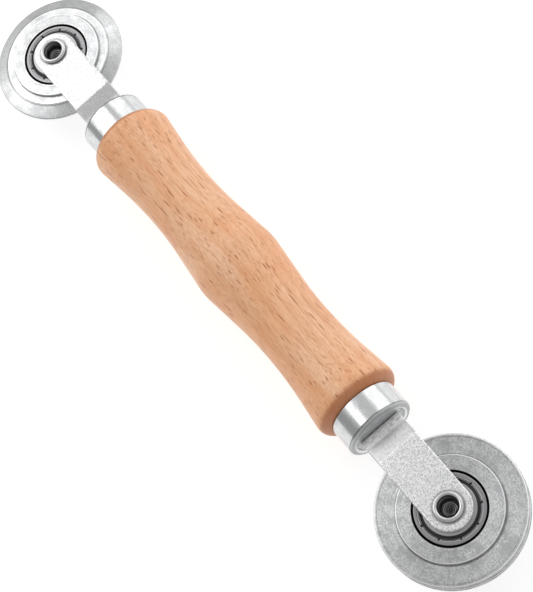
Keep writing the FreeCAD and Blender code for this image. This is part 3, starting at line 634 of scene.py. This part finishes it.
def shield_finish():
    """Pressed shield: disc painted near black as shade under the arm, with fine rings; its raised edge
    painted lighter as a highlight between the dents.
    """
    material, shader, add = start_finish("pressed_shield_steel")
    rings = ring_noise(add, 6.0)
    height = reckon(add, "ABSOLUTE", add("SeparateXYZ", {"Vector": millimetres(add)}).outputs["Z"])
    # Painted shade: the disc is near black; painted highlight: the raised edge above it is lighter.
    disc_shade = blend(add, rings, (0.015, 0.015, 0.015, 1.0), (0.085, 0.085, 0.09, 1.0))
    edge_highlight = blend(add, ramp(add, rings, 0.35, 0.65), (0.16, 0.16, 0.165, 1.0), (0.74, 0.74, 0.75, 1.0))
    join(material, blend(add, ramp(add, height, 2.66, 2.74), disc_shade, edge_highlight), shader, "Base Color")
    join(material, ramp(add, rings, 0.3, 0.7, 0.28, 0.42), shader, "Roughness")
    shader.inputs["Metallic"].default_value = 1.0
    return material


shield_steel = shield_finish()
ball_steel = ground_steel_finish("polished_ball_steel", (0.62, 0.62, 0.63, 1.0),
                                 (0.72, 0.72, 0.73, 1.0), 0.12)


def cage_finish():
    """Dark moulded plastic, mottled by its glass fibre."""
    material, shader, add = start_finish("moulded_cage")
    glass_fibre = add("TexNoise", {"Vector": millimetres(add), "Scale": 3.0, "Detail": 3.0}).outputs["Fac"]
    mottled = blend(add, glass_fibre, (0.02, 0.018, 0.015, 1.0), (0.06, 0.052, 0.045, 1.0))
    join(material, mottled, shader, "Base Color")
    join(material, ramp(add, glass_fibre, 0.3, 0.7, 0.45, 0.65), shader, "Roughness")
    return material


cage_plastic = cage_finish()
for end, side in ENDS:
    axle = (side * axle_reach, 0.0, 0.0)
    ring = turned_piece(f"{end}_ground_outer_ring", outer_ring_outline, (0, 0, 1), axle, turns=192)
    ring.data.materials.append(ring_steel)
    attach(ring, f"{end}_wheel_set")
    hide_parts(f"{end}_bearing_outer_ring")

    for place, facing in (("top", 1), ("bottom", -1)):
        def crimp(t, outline):
            """Nine narrow dents: the raised edge sinks by the crimp's depth times exp(-(turn/spread)^4)."""
            turn = (np.degrees(t) - crimp_phase[end] + crimp_spacing / 2) % crimp_spacing - crimp_spacing / 2
            height = outline[None, :, 1] * facing
            raised = np.clip((height - 2.45) / 0.3, 0, 1) * (outline[None, :, 0] > 7.9)
            return 0.0, -crimp_depth * facing * np.exp(-(turn / crimp_spread) ** 4) * raised

        shield = turned_piece(f"{end}_pressed_shield_{place}", shield_outline * (1, facing), (0, 0, 1), axle,
                              turns=360, relief=crimp)
        shield.data.materials.append(shield_steel)
        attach(shield, f"{end}_wheel_set")
        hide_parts(f"{end}_bearing_shield_{place}")
    refinish(f"{end}_bearing_inner_ring", ring_steel)
    refinish(f"{end}_bearing_balls", ball_steel)
    refinish(f"{end}_bearing_cage", cage_plastic)


# ---- Wheels --------------------------------------------------------------------------------------
# Both wheels are turned from steel bar and plated: a boss as wide as the bearing, a thinner web, and a
# rim. The tool leaves fine rings, so the faces catch light in a bow-tie about the axle.

def turned_steel_finish(name, dark, light, rough, steps):
    """Turned and plated steel: faint tool rings, stains and grit, painted highlights on edges and painted
    shade in corners.

    steps holds (radius of an edge with a painted highlight, radius of the corner below it with painted
    shade, strength of that shade).
    """
    material, shader, add = start_finish(name)
    rings = ring_noise(add, 3.6, 4.0)
    fine = ring_noise(add, 11.0, 2.0)
    stains = add("TexNoise", {"Vector": millimetres(add), "Scale": 0.28, "Detail": 7.0,
                              "Roughness": 0.68}).outputs["Fac"]
    grit = add("TexNoise", {"Vector": millimetres(add), "Scale": 2.4, "Detail": 4.0,
                            "Roughness": 0.8}).outputs["Fac"]
    radius = axle_distance(add)
    colour = blend(add, ramp(add, grit, 0.38, 0.62), dark, light)
    colour = blend(add, ramp(add, rings, 0.52, 0.68, 0.0, 0.35), colour, dark)
    colour = blend(add, ramp(add, rings, 0.46, 0.34, 0.0, 0.30), colour, light)
    colour = blend(add, ramp(add, stains, 0.48, 0.62, 0.0, 0.75), colour, dark)
    colour = blend(add, ramp(add, stains, 0.46, 0.34, 0.0, 0.55), colour, light)
    for edge, corner, strength in steps:
        # Painted highlight: a white line on each edge; painted shade: a dark line in the corner below it.
        off_edge = reckon(add, "ABSOLUTE", reckon(add, "SUBTRACT", radius, edge))
        colour = blend(add, ramp(add, off_edge, 0.17, 0.07, 0.0, 0.95), colour, (1.0, 1.0, 1.0, 1.0))
        off_corner = reckon(add, "ABSOLUTE", reckon(add, "SUBTRACT", radius, corner))
        corner_shade = ramp(add, off_corner, 0.24, 0.08, 0.0, strength)
        colour = blend(add, corner_shade, colour, (0.12, 0.12, 0.125, 1.0))
    # Painted shade: the seat's chamfered mouth is black, for the gap between wheel and bearing.
    colour = blend(add, ramp(add, radius, 10.16, 10.04), colour, (0.012, 0.012, 0.012, 1.0))
    join(material, colour, shader, "Base Color")
    join(material, ramp(add, stains, 0.3, 0.7, rough - 0.04, rough + 0.07), shader, "Roughness")
    small = reckon(add, "ADD", reckon(add, "MULTIPLY", fine, 0.2), reckon(add, "MULTIPLY", grit, 0.8))
    height = reckon(add, "ADD", reckon(add, "MULTIPLY", rings, 0.3), small)
    join(material, add("Bump", {"Height": height, "Strength": 0.4, "Distance": 0.00003}).outputs["Normal"],
         shader, "Normal")
    tangent = add("Tangent", direction_type="UV_MAP", uv_map="UVMap").outputs["Tangent"]
    join(material, tangent, shader, "Tangent")
    shader.inputs["Metallic"].default_value = 1.0
    shader.inputs["Anisotropic"].default_value = 0.68
    shader.inputs["Anisotropic Rotation"].default_value = 0.25
    return material


def both_faces(upper):
    """Full outline from its upper half, which runs from the middle plane at the bore to the rim."""
    upper = np.asarray(upper)
    return np.concatenate([upper, upper[::-1] * (1, -1)])


wheel_radius = 20.0
seat_radius, mouth_radius, mouth_start = 9.52, 10.05, 2.2
bearing_seat = [(seat_radius, 0.4), (seat_radius, mouth_start, 0.05), (mouth_radius, half_width, 0.06)]
# Grooved wheel: boss, flat web with a scribed ring near the rim, and a half-round groove in the rim.
grooved_web, groove_radius = 2.0, 1.4
groove = np.radians(np.linspace(178, 92, 14))
grooved_half = rounded(
    bearing_seat
    + [(14.1, half_width, 0.14), (14.33, grooved_web, 0.22), (18.9, grooved_web, 0.1), (19.0, 1.95, 0.05),
       (19.1, grooved_web, 0.05), (wheel_radius - 0.3, grooved_web, 0.08), (wheel_radius, 1.7, 0.08),
       (wheel_radius, 1.45, 0.05)]
    + [(wheel_radius + groove_radius * np.cos(a), groove_radius * np.sin(a)) for a in groove[::-1]],
    closed=False)
# Tapered wheel: boss with a scribed ring, web, and a rim that thins to a rounded edge.
tapered_web, edge_centre, edge_rounding = 2.05, 19.5, 0.5
rim_arc = np.radians(np.linspace(88, 2, 10))
tapered_half = rounded(
    bearing_seat
    + [(10.7, half_width, 0.03), (10.76, 2.95, 0.03), (10.82, half_width, 0.03), (13.4, half_width, 0.14),
       (13.65, tapered_web, 0.22), (15.8, tapered_web, 0.12), (16.4, 1.75, 0.10), (edge_centre, 0.55, 0.05)]
    + [(edge_centre + edge_rounding * np.cos(a), edge_rounding * np.sin(a)) for a in rim_arc],
    closed=False)
wheel_outlines = {"concave": both_faces(grooved_half), "convex": both_faces(tapered_half)}
wheel_finishes = {
    "concave": turned_steel_finish("turned_steel_concave", (0.42, 0.425, 0.43, 1.0),
                                   (0.80, 0.805, 0.81, 1.0), 0.33,
                                   ((14.02, 14.42, 0.55), (19.70, 19.05, 0.25))),
    "convex": turned_steel_finish("turned_steel_convex", (0.52, 0.525, 0.53, 1.0),
                                  (0.74, 0.745, 0.75, 1.0), 0.30,
                                  ((13.34, 13.72, 0.45), (15.75, 16.40, 0.45))),
}
for end, side in ENDS:
    axle = (side * axle_reach, 0.0, 0.0)
    wheel = turned_piece(f"{end}_turned_wheel", wheel_outlines[end], (0, 0, 1), axle, turns=360)
    wheel.data.materials.append(wheel_finishes[end])
    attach(wheel, f"{end}_wheel_set")
    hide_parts(f"{end}_wheel")


# ---- Spacer washers and rivets -------------------------------------------------------------------
# A thin washer at each side holds the bearing's inner ring off the arm. A steel rivet through arms,
# washers and bearing is the axle: both ends are drilled, then rolled outwards over the arms.

spacer_bore, spacer_radius = 3.05, 7.1
spacer_outline = rounded([(spacer_bore, half_width, 0.05), (spacer_radius, half_width, 0.05),
                          (spacer_radius, arm_inside, 0.14), (spacer_bore, arm_inside, 0.05)], guard=0.03)
shank_radius = 2.98
head_radius, head_height, head_curve = 3.4, 5.15, 0.6
drilled_radius, drilled_floor, drill_angle = 2.2, 2.35, np.radians(59.0)
# The hole flares where it was rolled out, and the drill left fine rings on its wall and its cone.
flare, flare_start = 0.55, 4.1
wall_mark, wall_pitch, cone_mark, cone_pitch = 0.05, 0.42, 0.04, 0.5
roll = np.radians(np.linspace(-50, 178, 26))
wall_height = np.linspace(5.1, 2.36, 44)
wall_radius = drilled_radius + flare * np.clip(wall_height - flare_start, 0, 1) ** 1.5
wall_radius = wall_radius - wall_mark * (0.5 + 0.5 * np.cos(2 * np.pi * wall_height / wall_pitch))
cone_radius = np.linspace(2.1, 0.0, 36)
cone_height = drilled_floor - (drilled_radius - cone_radius) / np.tan(drill_angle)
cone_height = cone_height + cone_mark * np.sin(2 * np.pi * cone_radius / cone_pitch)
cone_height[-1] = drilled_floor - drilled_radius / np.tan(drill_angle)
rivet_half = np.concatenate([
    [(shank_radius, 0.0), (shank_radius, 4.5), (3.02, 4.66)],
    np.stack([head_radius + head_curve * np.cos(roll), head_height + head_curve * np.sin(roll)], axis=1),
    np.stack([wall_radius, wall_height], axis=1),
    np.stack([cone_radius, cone_height], axis=1),
])
rivet_outline = np.concatenate([rivet_half[:0:-1] * (1, -1), rivet_half])
# Painted shade: the spacer steel is a mid grey, for the washer that lies in shade under the arm.
spacer_steel = ground_steel_finish("stamped_spacer_steel", (0.34, 0.34, 0.345, 1.0),
                                   (0.56, 0.56, 0.565, 1.0), 0.30)


def rivet_finish():
    """Rivet steel: bright where it is rolled over, and painted dark inside the drilled hole as shade."""
    material, shader, add = start_finish("rolled_rivet_steel")
    rings = ring_noise(add, 6.0)
    bright = blend(add, rings, (0.50, 0.50, 0.505, 1.0), (0.78, 0.78, 0.785, 1.0))
    # Painted shade: darker inside the drilled hole.
    hole_shade = ramp(add, axle_distance(add), shank_radius, 2.80)
    dark = blend(add, ramp(add, rings, 0.35, 0.65), (0.07, 0.07, 0.072, 1.0), (0.26, 0.26, 0.265, 1.0))
    join(material, blend(add, hole_shade, bright, dark), shader, "Base Color")
    join(material, ramp(add, rings, 0.3, 0.7, 0.20, 0.34), shader, "Roughness")
    shader.inputs["Metallic"].default_value = 1.0
    return material


rivet_steel = rivet_finish()
for end, side in ENDS:
    axle = (side * axle_reach, 0.0, 0.0)
    for place, facing in (("top", 1), ("bottom", -1)):
        spacer = turned_piece(f"{end}_stamped_spacer_{place}", spacer_outline * (1, facing), (0, 0, 1), axle,
                              turns=128)
        spacer.data.materials.append(spacer_steel)
        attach(spacer, "tool")
        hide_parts(f"{end}_spacer_{place}")
    rivet = turned_piece(f"{end}_rolled_rivet", rivet_outline, (0, 0, 1), axle, turns=128,
                         closed_outline=False)
    rivet.data.materials.append(rivet_steel)
    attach(rivet, "tool")
    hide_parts(f"{end}_axle")


# ---- Studio --------------------------------------------------------------------------------------
# The tool lies on a plain pale floor under one large softbox on the tapered wheel's side, a second on
# the +Y flank, and a soft surround that is brighter on the +Y side.

def floor_finish():
    """Matt pale floor that glows a little, so that it comes out nearly white."""
    material, shader, _ = start_finish("studio_floor")
    shader.inputs["Base Color"].default_value = (0.50, 0.50, 0.50, 1.0)
    shader.inputs["Roughness"].default_value = 0.9
    shader.inputs["Specular IOR Level"].default_value = 0.1
    shader.inputs["Emission Color"].default_value = (1.0, 1.0, 1.0, 1.0)
    shader.inputs["Emission Strength"].default_value = 0.68
    return material


floor_height = cad_low.z
floor_mesh = bpy.data.meshes.new("floor")
floor_size = 3.0
floor_corners = [(-floor_size, -floor_size, floor_height), (floor_size, -floor_size, floor_height),
                 (floor_size, floor_size, floor_height), (-floor_size, floor_size, floor_height)]
floor_mesh.from_pydata(floor_corners, [], [(0, 1, 2, 3)])
floor = bpy.data.objects.new("floor", floor_mesh)
floor_mesh.materials.append(floor_finish())
bpy.context.scene.collection.objects.link(floor)


def softbox(name, direction, distance, width, height, radiance):
    """A rectangular lamp that faces the tool; its power is radiance * area * pi."""
    lamp = bpy.data.lights.new(name, "AREA")
    lamp.shape = "RECTANGLE"
    lamp.size, lamp.size_y = width, height
    lamp.energy = radiance * width * height * np.pi
    holder = bpy.data.objects.new(name, lamp)
    place = Vector(direction).normalized() * distance
    holder.matrix_world = Matrix.Translation(place) @ place.to_track_quat("Z", "Y").to_matrix().to_4x4()
    bpy.context.scene.collection.objects.link(holder)


softbox("key_softbox", (-0.61, -0.34, 0.71), 0.9, 0.74, 0.70, 1.65)
softbox("flank_softbox", (-0.32, 0.78, 0.54), 0.9, 0.9, 0.7, 0.84)
world = bpy.data.worlds.new("surround")
world.use_nodes = True
# The surround's brightness rises across the room, from its -Y side to its +Y side.
across_room = world.node_tree.nodes.new("ShaderNodeSeparateXYZ")
fade = world.node_tree.nodes.new("ShaderNodeMapRange")
for socket, value in ((1, -0.8), (2, 0.8), (3, 0.36), (4, 0.78)):
    fade.inputs[socket].default_value = value
direction = world.node_tree.nodes.new("ShaderNodeTexCoord").outputs["Generated"]
world.node_tree.links.new(direction, across_room.inputs[0])
world.node_tree.links.new(across_room.outputs["Y"], fade.inputs[0])
world.node_tree.links.new(fade.outputs[0], world.node_tree.nodes["Background"].inputs["Strength"])
world.node_tree.nodes["Background"].inputs["Color"].default_value = (1.0, 1.0, 1.0, 1.0)
bpy.context.scene.world = world
bpy.context.scene.view_settings.view_transform = "Standard"

# The camera stands over the concave end and is rolled, so that the tool runs corner to corner.
eye = Vector((0.2255, -0.0004, 0.4294))
ahead = Vector((-0.4443, 0.0013, -0.8959)).normalized()
right = ahead.cross(Vector((-0.6767, 0.6548, 0.3366))).normalized()
up = right.cross(ahead)
camera_data = bpy.data.cameras.new("camera")
camera_data.lens = 106.65
camera_data.sensor_width = 36.0
camera_data.clip_start = 0.01
camera = bpy.data.objects.new("camera", camera_data)
camera.matrix_world = Matrix.Translation(eye) @ Matrix((right, up, -ahead)).transposed().to_4x4()
bpy.context.scene.collection.objects.link(camera)
bpy.context.scene.camera = camera
